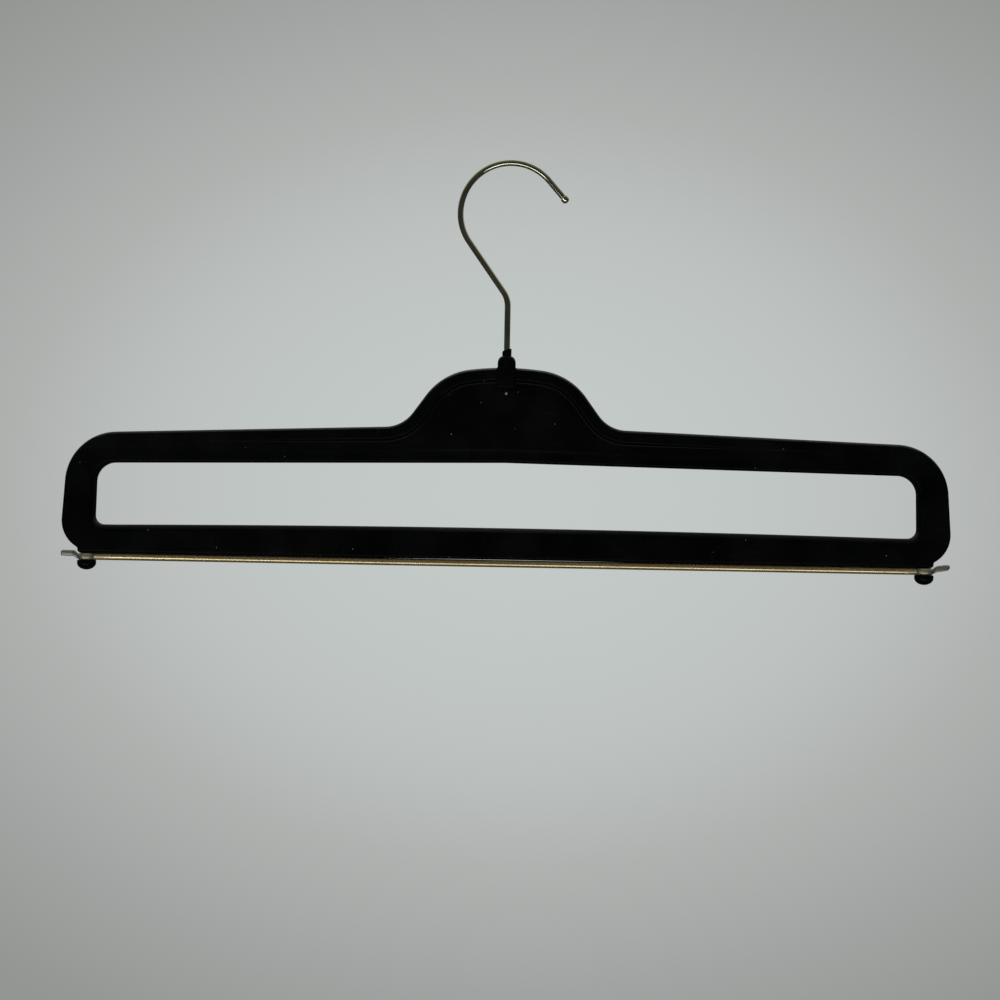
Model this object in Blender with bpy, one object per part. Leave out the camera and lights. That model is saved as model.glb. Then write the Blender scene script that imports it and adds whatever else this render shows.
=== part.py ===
"""A trouser hanger: a moulded frame on a swivel hook, with a clamp rod that swings out under its rail.

Lengths are in metres, with X to the right, Y to the back and Z up. The origin is the place inside
the hook's crown that rests on a wardrobe rail, straight above the axis that the frame turns on.
"""

import math

import bmesh
import bpy
import numpy as np
from mathutils import Matrix, Vector

# Fits
seat_gap = 0.0003
swivel_gap = 0.0002
cut_overrun = 0.0040
weld_distance = 0.000002

# Hook: a bent wire with a rounded tip and an upset collar that keeps it in the frame
wire_diameter = 0.0029
loop_radius = 0.0244
loop_offset = 0.0007
back_run_angle = math.radians(35.3)
mouth_angle = math.radians(41.2)
mouth_run = 0.0138
shank_bend_radius = 0.0120
tip_diameter = 0.0037
tip_length = 0.0031
tip_neck = 0.0004
tip_round = 0.0009
collar_diameter = 0.0046
collar_height = 0.0012
collar_slope = 0.0003
shank_tail = 0.0005

# Frame: heights from the hump's crown down to the feet, measured at the middle
crown_drop = 0.0982
hump_height = 0.0274
arm_height = 0.0186
opening_height = 0.0318
rail_height = 0.0151
rail_bow = 0.00015
opening_bow = 0.0016

# Frame: widths, slopes and corner rounds
corner_width = 0.4322
frame_thickness = 0.0080
arm_slope = math.radians(2.0)
opening_slope = math.radians(0.93)
side_flare = math.radians(4.2)
foot_slope = math.radians(31.9)
foot_inset = 0.0085
foot_height = 0.0023
pad_length = 0.0105
crown_flat_half = 0.0085
crown_fall = math.radians(7.2)
shoulder_half_width = 0.0308
flank_angle = math.radians(54.0)
crown_radius = 0.1350
shoulder_radius = 0.0310
hump_foot_radius = 0.0170
upper_corner_radius = 0.0255
lower_corner_radius = 0.0150
foot_hollow_radius = 0.0011
foot_tip_radius = 0.0016
end_rail_width = 0.0162
opening_end_flare = 0.0006
opening_upper_radius = 0.0095
opening_lower_radius = 0.0048
edge_round = 0.0015
rail_edge_round = 0.0028

# Frame: the sunk panel on both faces, which fades out along the arms
rim_width = 0.0054
lower_rim_width = 0.0051
panel_depth = 0.0022
panel_lip_round = 0.0007
panel_floor_round = 0.0013
panel_floor_margin = 0.0004
panel_draft = 0.0002
panel_fade_start = 0.0500
panel_half_length = 0.1600
panel_end_round = 0.0100
panel_end_share = 0.14
arm_station_pitch = 0.0130

# Frame: the square boss that takes the hook's bush, and the mark of the moulding gate below it
boss_width = 0.0091
boss_corner = 0.0012
boss_proud = 0.0003
boss_length = 0.0101
boss_edge = 0.0004
gate_diameter = 0.0012
gate_height = 0.0002
gate_drop = 0.0027
gate_taper_share = 0.8

# Bush: nozzle, dome and neck above the boss, and a spigot inside it
nozzle_diameter = 0.0045
nozzle_height = 0.0032
nozzle_slant = 0.0007
nozzle_edge = 0.0002
dome_height = 0.0034
neck_diameter = 0.0088
neck_height = 0.0017
spigot_diameter = 0.0057
spigot_length = 0.0035
collar_room = 0.0012

# Pins: mushroom heads under the rail's feet, pressed up into them
pin_inset = 0.0122
pin_diameter = 0.0038
pin_depth = 0.0075
pin_edge = 0.0005
head_diameter = 0.0092
head_height = 0.0045
head_rim_height = 0.0011
head_top_round = 0.0004

# Clamp rod: round, with an eye on each pin and a finger tab past it
rod_diameter = 0.0035
eye_diameter = 0.0090
eye_height = 0.0033
eye_edge = 0.0005
tail_reach = 0.0121
tab_depth = 0.0040
tab_height = 0.0027
tab_raise = 0.0015
tab_corner = 0.0006

# Tabs as shares of reach, depth, height and raise, from inside the eye to the tip
left_tab_shares = (
    (0.26, 0.85, 0.89, 0.00),
    (0.40, 0.75, 0.81, 0.07),
    (0.50, 0.85, 0.89, 0.60),
    (0.56, 1.00, 1.00, 0.93),
    (0.97, 1.00, 1.00, 1.00),
    (1.00, 0.88, 0.82, 1.00),
)
right_tab_shares = (
    (0.26, 0.85, 0.89, 0.00),
    (0.40, 0.75, 0.81, 0.10),
    (0.51, 0.88, 0.92, 0.60),
    (0.62, 1.00, 1.00, 0.88),
    (0.86, 1.00, 1.00, 1.26),
    (0.95, 0.88, 0.86, 1.42),
    (1.00, 0.55, 0.52, 1.50),
)

# Heights that several pieces share
crown_z = -crown_drop
arm_line_z = crown_z - hump_height
opening_top_z = arm_line_z - arm_height
opening_bottom_z = opening_top_z - opening_height
rail_bottom_z = opening_bottom_z - rail_height
pad_z = rail_bottom_z - rail_bow
boss_top_z = crown_z + boss_proud
boss_bottom_z = boss_top_z - boss_length
spigot_end_z = boss_top_z - spigot_length
collar_top_z = spigot_end_z - seat_gap
shank_end_z = collar_top_z - collar_height - shank_tail
rod_half_height = max(rod_diameter, eye_height) / 2
rod_z = pad_z - seat_gap - rod_half_height
head_top_z = rod_z - rod_half_height - seat_gap

# Places along X
corner_x = corner_width / 2
foot_x = corner_x - foot_inset
pin_x = corner_x - pin_inset
panel_floor_y = frame_thickness / 2 - panel_depth

# Fineness
fillet_room_share = 0.98
sharp_angle = math.radians(35.0)
arc_step = math.radians(7.5)
least_arc_steps = 4
longest_mitre = 2.0
round_steps = 3
round_sides = 40
wire_sides = 20
rod_sides = 24
wire_step = math.radians(7.0)
bow_steps = 8
panel_end_steps = 5
dome_steps = 7
tab_corner_steps = 2


def clear_scene():
    for existing in list(bpy.data.objects):
        bpy.data.objects.remove(existing, do_unlink=True)


def make_material(name, colour, roughness, metallic):
    material = bpy.data.materials.new(name)
    material.use_nodes = True
    surface = material.node_tree.nodes["Principled BSDF"]
    surface.inputs["Base Color"].default_value = (*colour, 1.0)
    surface.inputs["Roughness"].default_value = roughness
    surface.inputs["Metallic"].default_value = metallic
    return material


def add_object(name, bm, material=None, origin=(0, 0, 0)):
    """Turns a bmesh that was made around its own origin into an object placed at origin."""
    bmesh.ops.recalc_face_normals(bm, faces=bm.faces)
    mesh = bpy.data.meshes.new(name)
    bm.to_mesh(mesh)
    bm.free()
    mesh.shade_smooth()
    mesh.set_sharp_from_angle(angle=sharp_angle)
    if material:
        mesh.materials.append(material)
    made = bpy.data.objects.new(name, mesh)
    made.location = origin
    bpy.context.scene.collection.objects.link(made)
    return made


def combine(target, tool, operation):
    """Joins or cuts the target with a tool object that stays hidden."""
    tool.hide_render = True
    tool.display_type = "WIRE"
    modifier = target.modifiers.new(tool.name, "BOOLEAN")
    modifier.solver = "EXACT"
    modifier.operation = operation
    modifier.object = tool


def quarter(radius, steps=round_steps):
    """Gives (sunk, risen) pairs along a quarter circle, from (radius, 0) to (0, radius)."""
    turns = [math.pi / 2 * k / steps for k in range(steps + 1)]
    return [(radius * math.cos(turn), radius * math.sin(turn)) for turn in turns]


def turned(profile, sides=round_sides):
    """Spins (radius, height) points, which start and end on the axis or close on themselves, around Z."""
    bm = bmesh.new()
    verts = [bm.verts.new((radius, 0, height)) for radius, height in profile]
    edges = [bm.edges.new(pair) for pair in zip(verts, verts[1:])]
    if profile[0][0] > 0:
        edges.append(bm.edges.new((verts[-1], verts[0])))
    bmesh.ops.spin(bm, geom=verts + edges, cent=(0, 0, 0), axis=(0, 0, 1), angle=math.tau, steps=sides)
    bmesh.ops.remove_doubles(bm, verts=bm.verts, dist=weld_distance)
    return bm


def fillet(before, corner, after, radius):
    """Rounds one corner of an outline with an arc of the given radius."""
    inward = (corner - before).normalized()
    outward = (after - corner).normalized()
    turn = inward.angle_signed(outward)
    reach = radius * math.tan(abs(turn) / 2)
    start = corner - inward * reach
    side = math.copysign(1.0, turn)
    centre = start + Vector((inward.y, -inward.x)) * radius * side
    steps = max(least_arc_steps, math.ceil(abs(turn) / arc_step))
    spoke = start - centre
    points = []
    for k in range(steps + 1):
        angle = -turn * k / steps
        points.append((
            centre.x + spoke.x * math.cos(angle) - spoke.y * math.sin(angle),
            centre.y + spoke.x * math.sin(angle) + spoke.y * math.cos(angle),
        ))
    return points


def rounded(corners):
    """Rounds the inner corners of an open line of (x, z, radius), each as far as its sides have room."""
    places = [Vector(corner[:2]) for corner in corners]
    radii = [corner[2] for corner in corners]
    sides = [after - before for before, after in zip(places, places[1:])]
    reaches = [0.0] * len(corners)
    for k in range(1, len(corners) - 1):
        reaches[k] = radii[k] * math.tan(sides[k - 1].angle(sides[k]) / 2)
    rooms = [1.0] * len(corners)
    for k, side in enumerate(sides):
        taken = reaches[k] + reaches[k + 1]
        if taken > side.length * fillet_room_share:
            room = side.length * fillet_room_share / taken
            rooms[k] = min(rooms[k], room)
            rooms[k + 1] = min(rooms[k + 1], room)
    points = [tuple(places[0])]
    for k in range(1, len(corners) - 1):
        if radii[k] > 0:
            points += fillet(places[k - 1], places[k], places[k + 1], radii[k] * rooms[k])
        else:
            points.append(tuple(places[k]))
    return points + [tuple(places[-1])]


def mirrored(half):
    """Closes a right half, which starts and ends at X = 0, with its mirror image, clockwise."""
    return half + [(-x, z) for x, z in reversed(half[1:-1])]


def normals(points):
    """Gives each point of a clockwise outline the direction into it, longer where the outline turns."""
    found = []
    count = len(points)
    for k in range(count):
        here = Vector(points[k])
        ahead = (Vector(points[(k + 1) % count]) - here).normalized()
        behind = (here - Vector(points[k - 1])).normalized()
        along = (ahead + behind).normalized()
        stretch = min(1 / along.dot(ahead), longest_mitre)
        found.append((along.y * stretch, -along.x * stretch))
    return found


def inset(points, distances):
    """Moves each point of a clockwise outline inwards by its own distance."""
    return [
        (x + across * distance, z + up * distance)
        for (x, z), (across, up), distance in zip(points, normals(points), distances)
    ]


def add_ring(bm, points, depths):
    return [bm.verts.new((x, y, z)) for (x, z), y in zip(points, depths)]


def skin(bm, rings):
    """Joins each closed ring to the next with a band of faces."""
    for first, second in zip(rings, rings[1:]):
        for k in range(len(first)):
            bm.faces.new((first[k - 1], first[k], second[k], second[k - 1]))


def ring_edges(bm, ring):
    return [bm.edges.get((ring[k - 1], ring[k])) for k in range(len(ring))]


def frame_outline():
    """The frame's outer edge: hump, arm, end and foot, then the bowed underside of the rail."""
    crown_x = crown_flat_half
    shoulder_z = crown_z - (shoulder_half_width - crown_x) * math.tan(crown_fall)
    flank_fall = math.tan(flank_angle)
    arm_fall = math.tan(arm_slope)
    hump_foot_x = (shoulder_z + flank_fall * shoulder_half_width - arm_line_z) / (flank_fall - arm_fall)
    heel_z = pad_z + foot_height
    low_corner_z = heel_z + foot_inset * math.tan(foot_slope)
    flare = math.tan(side_flare)
    high_corner_x = (corner_x - (arm_line_z - low_corner_z) * flare) / (1 - arm_fall * flare)
    half = rounded([
        (0, crown_z, 0),
        (crown_x, crown_z, crown_radius),
        (shoulder_half_width, shoulder_z, shoulder_radius),
        (hump_foot_x, arm_line_z - hump_foot_x * arm_fall, hump_foot_radius),
        (high_corner_x, arm_line_z - high_corner_x * arm_fall, upper_corner_radius),
        (corner_x, low_corner_z, lower_corner_radius),
        (foot_x, heel_z, foot_hollow_radius),
        (foot_x, pad_z, foot_tip_radius),
        (foot_x - pad_length, pad_z, 0),
    ])
    bow_start = foot_x - pad_length
    for k in range(1, bow_steps + 1):
        share = 1 - k / bow_steps
        half.append((bow_start * share, rail_bottom_z - rail_bow * share ** 2))
    return mirrored(half)


def opening_line(x):
    """The height of the opening's upper edge at a distance x from the middle."""
    return opening_top_z - abs(x) * math.tan(opening_slope)


def opening_outline():
    """The long opening between the arms and the lower rail."""
    end_x = corner_x - end_rail_width
    low_z = opening_bottom_z - opening_bow
    half = rounded([
        (0, opening_top_z, 0),
        (end_x, opening_line(end_x), opening_upper_radius),
        (end_x + opening_end_flare, low_z, opening_lower_radius),
        (end_x - opening_upper_radius, low_z, 0),
    ])
    bow_start = half[-1][0]
    for k in range(1, bow_steps + 1):
        share = 1 - k / bow_steps
        half.append((bow_start * share, opening_bottom_z - opening_bow * share ** 2))
    return mirrored(half)


def panel_outline(outer):
    """The sunk panel's edge: its upper side keeps the rim's width, its lower side follows the opening."""
    upper_line = sorted(
        (max(0, x), z)
        for x, z in inset(outer, [rim_width] * len(outer))
        if x > -weld_distance and z > opening_line(x) + lower_rim_width
    )
    line_x = [x for x, z in upper_line]
    line_z = [z for x, z in upper_line]
    end_start = panel_half_length - panel_end_round
    stations = [x for x in line_x if x < panel_fade_start]
    arm_count = round((end_start - panel_fade_start) / arm_station_pitch)
    for k in range(arm_count + 1):
        stations.append(panel_fade_start + (end_start - panel_fade_start) * k / arm_count)
    for k in range(1, panel_end_steps + 1):
        stations.append(end_start + panel_end_round * math.sin(math.pi / 2 * k / panel_end_steps))
    upper = []
    lower = []
    for x in stations:
        high = float(np.interp(x, line_x, line_z))
        low = opening_line(x) + lower_rim_width
        past = max(0, (x - end_start) / panel_end_round)
        half_height = (high - low) / 2 * math.sqrt(max(0, 1 - past ** 2))
        upper.append((x, (high + low) / 2 + half_height))
        lower.append((x, (high + low) / 2 - half_height))
    return mirrored(upper[:-1] + [lower[-1]] + lower[-2::-1])


def panel_strength(x):
    """One over the hump, falling smoothly along the arm to the share left at the panel's end."""
    past = min(1, max(0, (abs(x) - panel_fade_start) / (panel_half_length - panel_fade_start)))
    return 1 - (1 - panel_end_share) * past * past * (3 - 2 * past)


def add_panel(bm, outline, face):
    """Sinks the panel into one face (-1 front, 1 back), and gives the ring that lies in that face."""
    strengths = [panel_strength(x) for x, z in outline]
    floor_round = min(panel_floor_round, panel_depth - panel_lip_round)
    floor_start = panel_lip_round + panel_draft
    steps = [(risen, panel_lip_round - sunk) for sunk, risen in quarter(panel_lip_round)]
    for sunk, risen in quarter(floor_round):
        steps.append((floor_start + floor_round - sunk, panel_depth - floor_round + risen))
    steps.append((floor_start + floor_round + panel_floor_margin, panel_depth))
    rings = []
    for across, deep in steps:
        points = inset(outline, [across * strength for strength in strengths])
        depths = [face * (frame_thickness / 2 - deep * strength) for strength in strengths]
        rings.append(add_ring(bm, points, depths))
    skin(bm, rings)
    floor = rings[-1]
    count = len(floor)
    right_tip = count // 4
    left_tip = count - right_tip
    for k in range(count // 2):
        top = (left_tip + k) % count
        low = (left_tip - k) % count
        corners = [floor[top], floor[(top + 1) % count], floor[(low - 1) % count], floor[low]]
        unique = list(dict.fromkeys(corners))
        if len(unique) > 2:
            bm.faces.new(unique)
    return rings[0]


def edge_rings(bm, outline, rounds, side):
    """Builds a wall along an outline, rounded at both faces; side is 1 outside and -1 inside."""
    sections = []
    for sunk, risen in quarter(1):
        sections.append((1 - risen, 1, sunk - 1))
    for sunk, risen in quarter(1):
        sections.append((1 - sunk, -1, 1 - risen))
    rings = []
    for across, face, rise in sections:
        points = inset(outline, [side * across * size for size in rounds])
        depths = [face * frame_thickness / 2 + rise * size for size in rounds]
        rings.append(add_ring(bm, points, depths))
    skin(bm, rings)
    return rings[0], rings[-1]


def build_frame(material):
    bm = bmesh.new()
    outer = frame_outline()
    opening = opening_outline()
    outer_round = min(edge_round, foot_tip_radius * fillet_room_share)
    outer_back, outer_front = edge_rings(bm, outer, [outer_round] * len(outer), 1)
    opening_rounds = []
    for x, z in opening:
        rise = min(1, max(0, (z - opening_bottom_z) / opening_lower_radius))
        opening_rounds.append(rail_edge_round + (edge_round - rail_edge_round) * rise)
    opening_back, opening_front = edge_rings(bm, opening, opening_rounds, -1)
    panel = panel_outline(outer)
    for face, outer_ring, opening_ring in ((-1, outer_front, opening_front), (1, outer_back, opening_back)):
        panel_ring = add_panel(bm, panel, face)
        edges = ring_edges(bm, outer_ring) + ring_edges(bm, opening_ring) + ring_edges(bm, panel_ring)
        bmesh.ops.triangle_fill(bm, use_beauty=True, use_dissolve=False, edges=edges, normal=(0, face, 0))
    frame = add_object("frame", bm, material)
    combine(frame, build_boss(), "UNION")

    gate_radius = gate_diameter / 2
    gate = turned([
        (0, gate_height),
        (gate_radius * gate_taper_share, gate_height),
        (gate_radius, 0),
        (gate_radius, -gate_diameter),
        (0, -gate_diameter),
    ], sides=wire_sides)
    gate.transform(Matrix.Rotation(math.radians(90.0), 4, "X"))
    gate_z = boss_bottom_z - gate_drop
    combine(frame, add_object("gate_shape", gate, origin=(0, -panel_floor_y, gate_z)), "UNION")

    bore_radius = spigot_diameter / 2 + seat_gap
    bore_end_z = shank_end_z - collar_room
    combine(frame, bore("bush_bore", bore_radius, bore_end_z, boss_top_z + cut_overrun), "DIFFERENCE")
    for name, side in (("left_pin_bore", -1), ("right_pin_bore", 1)):
        pin_bore = bore(name, pin_diameter / 2 + seat_gap, pad_z - cut_overrun, pad_z + pin_depth + seat_gap)
        pin_bore.location.x = side * pin_x
        combine(frame, pin_bore, "DIFFERENCE")
    return frame


def rounded_rectangle(width, height, corner, steps):
    """Gives the points around a rectangle with round corners, centred on zero."""
    corner = min(corner, width / 2, height / 2)
    arc = quarter(corner, steps)
    points = []
    for across, up, order in ((1, 1, 1), (-1, 1, -1), (-1, -1, 1), (1, -1, -1)):
        for sunk, risen in arc[::order]:
            points.append((across * (width / 2 - corner + sunk), up * (height / 2 - corner + risen)))
    return points


def build_boss():
    """The boss that stands proud of both faces, with its rims broken at the top and the bottom."""
    bm = bmesh.new()
    rings = []
    for z, margin in ((0, boss_edge), (-boss_edge, 0), (boss_edge - boss_length, 0), (-boss_length, boss_edge)):
        side = boss_width - 2 * margin
        outline = rounded_rectangle(side, side, boss_corner, round_steps)
        rings.append([bm.verts.new((x, y, z)) for x, y in outline])
    skin(bm, rings)
    bm.faces.new(rings[0])
    bm.faces.new(rings[-1])
    return add_object("boss_shape", bm, origin=(0, 0, boss_top_z))


def bore(name, radius, low_z, high_z):
    return add_object(name, turned([(0, low_z), (radius, low_z), (radius, high_z), (0, high_z)]))


def hook_path():
    """The wire's centreline from tip to shank as (x, z), with the wire's radius at each point."""
    wire = wire_diameter / 2
    tip = tip_diameter / 2
    collar = collar_diameter / 2
    centre = Vector((loop_offset, -math.sqrt((loop_radius - wire) ** 2 - loop_offset ** 2)))
    mouth = centre + loop_radius * Vector((math.cos(mouth_angle), math.sin(mouth_angle)))
    along = Vector((math.sin(mouth_angle), -math.cos(mouth_angle)))
    tip_stations = [(tip_round - risen, tip - tip_round + sunk) for sunk, risen in quarter(tip_round)]
    tip_stations = tip_stations[::-1] + [(tip_length - tip_neck, tip), (tip_length, wire)]
    path = []
    for from_end, radius in tip_stations:
        path.append((*(mouth + along * (mouth_run - from_end)), radius))

    back_angle = math.pi + back_run_angle
    loop_steps = math.ceil((back_angle - mouth_angle) / wire_step)
    for k in range(loop_steps + 1):
        angle = mouth_angle + (back_angle - mouth_angle) * k / loop_steps
        place = centre + loop_radius * Vector((math.cos(angle), math.sin(angle)))
        path.append((*place, wire))

    back = Vector(path[-1][:2])
    down = Vector((math.sin(back_run_angle), -math.cos(back_run_angle)))
    knee = back - down * (back.x / down.x)
    bend = fillet(back, knee, Vector((0, shank_end_z)), shank_bend_radius)
    path += [(x, z, wire) for x, z in bend]

    for z, radius in (
        (collar_top_z, wire),
        (collar_top_z - collar_slope, collar),
        (collar_top_z - collar_height + collar_slope, collar),
        (collar_top_z - collar_height, wire),
        (shank_end_z, wire),
    ):
        path.append((0, z, radius))
    return path


def build_hook(material):
    path = hook_path()
    curve = bpy.data.curves.new("hook", "CURVE")
    curve.dimensions = "3D"
    curve.twist_mode = "MINIMUM"
    curve.bevel_depth = wire_diameter / 2
    # A bevel resolution of 0 gives four sides, and each step more adds two
    curve.bevel_resolution = (wire_sides - 4) // 2
    curve.use_fill_caps = True
    spline = curve.splines.new("POLY")
    spline.points.add(len(path) - 1)
    for point, (x, z, radius) in zip(spline.points, path):
        point.co = (x, 0, z, 1)
        point.radius = radius / curve.bevel_depth
    curve.materials.append(material)
    hook = bpy.data.objects.new("hook", curve)
    bpy.context.scene.collection.objects.link(hook)
    return hook


def build_bush(material):
    """The bush around the hook's shank: its spigot goes down into the boss and holds the collar in."""
    bore_radius = wire_diameter / 2 + swivel_gap
    nozzle_radius = nozzle_diameter / 2
    neck_radius = neck_diameter / 2
    spigot_radius = spigot_diameter / 2
    neck_end = seat_gap
    dome_end = neck_end + neck_height
    dome_top = dome_end + dome_height
    nozzle_top = dome_top + nozzle_height
    profile = [
        (bore_radius, nozzle_top),
        (nozzle_radius - nozzle_edge, nozzle_top),
        (nozzle_radius, nozzle_top - nozzle_edge),
        (nozzle_radius, dome_top),
    ]
    for k in range(1, dome_steps + 1):
        turn = math.pi / 2 * k / dome_steps
        across = (neck_radius - nozzle_radius) * math.sin(turn)
        profile.append((nozzle_radius + across, dome_end + dome_height * math.cos(turn)))
    profile += [
        (neck_radius, neck_end),
        (spigot_radius, neck_end),
        (spigot_radius, -spigot_length),
        (bore_radius, -spigot_length),
    ]
    bm = turned(profile)
    for vert in bm.verts:
        if vert.co.z > dome_top + nozzle_height / 2:
            vert.co.z += nozzle_slant * vert.co.x / nozzle_radius
    return add_object("hook_bush", bm, material, (0, 0, boss_top_z))


def build_pin(name, side, material):
    """A pin with a mushroom head below the rod's eye, and a stem up in the rail's foot."""
    head_radius = head_diameter / 2
    stem_radius = pin_diameter / 2
    rim_low = -head_rim_height
    profile = []
    for k in range(dome_steps + 1):
        turn = math.pi / 2 * k / dome_steps
        drop = (head_height - head_rim_height) * math.cos(turn)
        profile.append((head_radius * math.sin(turn), rim_low - drop))
    for sunk, risen in quarter(head_top_round):
        profile.append((head_radius - head_top_round + sunk, risen - head_top_round))
    stem_top = pad_z + pin_depth - head_top_z
    profile += [
        (stem_radius, 0),
        (stem_radius, stem_top - pin_edge),
        (stem_radius - pin_edge, stem_top),
        (0, stem_top),
    ]
    return add_object(name, turned(profile), material, (side * pin_x, 0, head_top_z))


def build_tab(name, shares, side, x):
    """A finger tab past the eye, lofted through its sections and closed at both ends."""
    bm = bmesh.new()
    rings = []
    for along, deep, high, raised in shares:
        place = side * tail_reach * along
        section = rounded_rectangle(tab_depth * deep, tab_height * high, tab_corner, tab_corner_steps)
        rings.append([bm.verts.new((place, y, z + tab_raise * raised)) for y, z in section])
    skin(bm, rings)
    bm.faces.new(rings[0])
    bm.faces.new(rings[-1])
    return add_object(name, bm, origin=(x, 0, rod_z))


def build_rod(material):
    """The clamp rod, made around the left pin that it turns on."""
    rod_radius = rod_diameter / 2
    eye_radius = eye_diameter / 2
    eye_half = eye_height / 2
    hole_radius = pin_diameter / 2 + seat_gap
    length = 2 * pin_x
    bar = turned([(0, 0), (rod_radius, 0), (rod_radius, length), (0, length)], sides=rod_sides)
    bar.transform(Matrix.Rotation(math.radians(90.0), 4, "Y"))
    rod = add_object("clamp_rod", bar, material, (-pin_x, 0, rod_z))

    for name, x in (("left_eye", -pin_x), ("right_eye", pin_x)):
        eye = turned([
            (0, eye_half),
            (eye_radius - eye_edge, eye_half),
            (eye_radius, eye_half - eye_edge),
            (eye_radius, eye_edge - eye_half),
            (eye_radius - eye_edge, -eye_half),
            (0, -eye_half),
        ])
        combine(rod, add_object(name, eye, origin=(x, 0, rod_z)), "UNION")
    combine(rod, build_tab("left_tab", left_tab_shares, -1, -pin_x), "UNION")
    combine(rod, build_tab("right_tab", right_tab_shares, 1, pin_x), "UNION")

    cut_half = rod_half_height + cut_overrun
    hole = bore("left_hole", hole_radius, -cut_half, cut_half)
    hole.location = (-pin_x, 0, rod_z)
    combine(rod, hole, "DIFFERENCE")

    slot = bmesh.new()
    half_turn = round_sides // 2
    outline = [(hole_radius, eye_radius + cut_overrun), (-hole_radius, eye_radius + cut_overrun)]
    for k in range(half_turn + 1):
        angle = math.pi + math.pi * k / half_turn
        outline.append((hole_radius * math.cos(angle), hole_radius * math.sin(angle)))
    low = [slot.verts.new((x, y, -cut_half)) for x, y in outline]
    high = [slot.verts.new((x, y, cut_half)) for x, y in outline]
    skin(slot, [low, high])
    slot.faces.new(low)
    slot.faces.new(high)
    combine(rod, add_object("right_slot", slot, origin=(pin_x, 0, rod_z)), "DIFFERENCE")
    return rod


def main():
    clear_scene()
    black = make_material("black_satin_plastic", (0.012, 0.013, 0.012), 0.42, 0.0)
    gloss = make_material("black_gloss_plastic", (0.010, 0.010, 0.010), 0.22, 0.0)
    brass = make_material("brass_plated_steel", (0.52, 0.43, 0.24), 0.28, 1.0)
    dark_brass = make_material("aged_brass_wire", (0.36, 0.33, 0.22), 0.30, 1.0)

    swivel = bpy.data.objects.new("swivel_axis", None)
    bpy.context.scene.collection.objects.link(swivel)
    build_hook(dark_brass)
    carried = [
        build_frame(black),
        build_bush(gloss),
        build_pin("left_pivot_pin", -1, gloss),
        build_pin("right_latch_pin", 1, gloss),
        build_rod(brass),
    ]
    for piece in carried:
        piece.parent = swivel


main()
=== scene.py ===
import math

import bmesh
import bpy
import numpy as np
from mathutils import Euler, Matrix, Vector


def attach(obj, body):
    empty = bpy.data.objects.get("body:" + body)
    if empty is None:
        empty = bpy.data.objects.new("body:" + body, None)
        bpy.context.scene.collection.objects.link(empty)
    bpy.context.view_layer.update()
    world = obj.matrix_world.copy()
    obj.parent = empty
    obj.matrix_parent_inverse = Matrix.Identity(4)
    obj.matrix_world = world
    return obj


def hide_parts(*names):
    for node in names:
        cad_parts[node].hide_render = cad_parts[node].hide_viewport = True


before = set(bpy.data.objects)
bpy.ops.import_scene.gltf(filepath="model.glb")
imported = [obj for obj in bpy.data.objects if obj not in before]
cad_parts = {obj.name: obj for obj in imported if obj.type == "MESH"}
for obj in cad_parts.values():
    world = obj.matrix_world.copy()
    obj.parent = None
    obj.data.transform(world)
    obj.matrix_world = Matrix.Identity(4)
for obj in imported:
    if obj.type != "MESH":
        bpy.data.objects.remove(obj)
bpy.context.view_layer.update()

print("trouser hanger: packed model loaded,", len(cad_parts), "nodes")

# The camera hangs in front of the rail as it was held over the hanger, a touch turned and rolled
cameraValues = {
    "place": (0.0067, -0.6, -0.1566),
    "turn": (89.457, -1.0, 0.85),
    "lens": 44.38,
    "sensor": 36.0,
    "clip": (0.01, 30.0),
}

cameraData = bpy.data.cameras.new("photoCamera")
cameraData.lens = cameraValues["lens"]
cameraData.sensor_width = cameraValues["sensor"]
cameraData.clip_start, cameraData.clip_end = cameraValues["clip"]
camera = bpy.data.objects.new("photoCamera", cameraData)
camera.location = cameraValues["place"]
camera.rotation_euler = Euler([math.radians(turn) for turn in cameraValues["turn"]])
bpy.context.scene.collection.objects.link(camera)
bpy.context.scene.camera = camera
print("camera set")

mergeDistance = 0.000002    # corners nearer than this become one


def placed(name, mesh, material, sharpAngle):
    # shades a mesh smooth up to its sharp edges and puts it into the scene
    if material:
        mesh.materials.append(material)
    mesh.shade_smooth()
    mesh.set_sharp_from_angle(angle=math.radians(sharpAngle))
    made = bpy.data.objects.new(name, mesh)
    bpy.context.scene.collection.objects.link(made)
    return made


def meshObject(name, bm, material=None, sharpAngle=32.0):
    # merges close corners and points the faces outwards
    bmesh.ops.remove_doubles(bm, verts=bm.verts, dist=mergeDistance)
    bmesh.ops.recalc_face_normals(bm, faces=bm.faces)
    mesh = bpy.data.meshes.new(name)
    bm.to_mesh(mesh)
    bm.free()
    return placed(name, mesh, material, sharpAngle)


def bakedMesh(source, name, material, sharpAngle):
    # what the modifiers make of an object becomes a plain mesh, and the object itself goes
    bpy.context.view_layer.update()
    depsgraph = bpy.context.evaluated_depsgraph_get()
    mesh = bpy.data.meshes.new_from_object(source.evaluated_get(depsgraph))
    bpy.data.objects.remove(source, do_unlink=True)
    mesh.name = name
    mesh.materials.clear()
    return placed(name, mesh, material, sharpAngle)


def shapeWith(target, tools, name, material, sharpAngle):
    # joins or cuts the target with (tool, operation) pairs, then bakes the result
    for tool, operation in tools:
        step = target.modifiers.new(tool.name, "BOOLEAN")
        step.solver = "EXACT"
        step.operation = operation
        step.object = tool
    made = bakedMesh(target, name, material, sharpAngle)
    for tool, operation in tools:
        bpy.data.objects.remove(tool, do_unlink=True)
    return made


def quarterTurn(radius, steps):
    # (sunk, risen) pairs from (radius, 0) to (0, radius)
    turns = [math.pi / 2 * k / steps for k in range(steps + 1)]
    return [(radius * math.cos(turn), radius * math.sin(turn)) for turn in turns]


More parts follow.
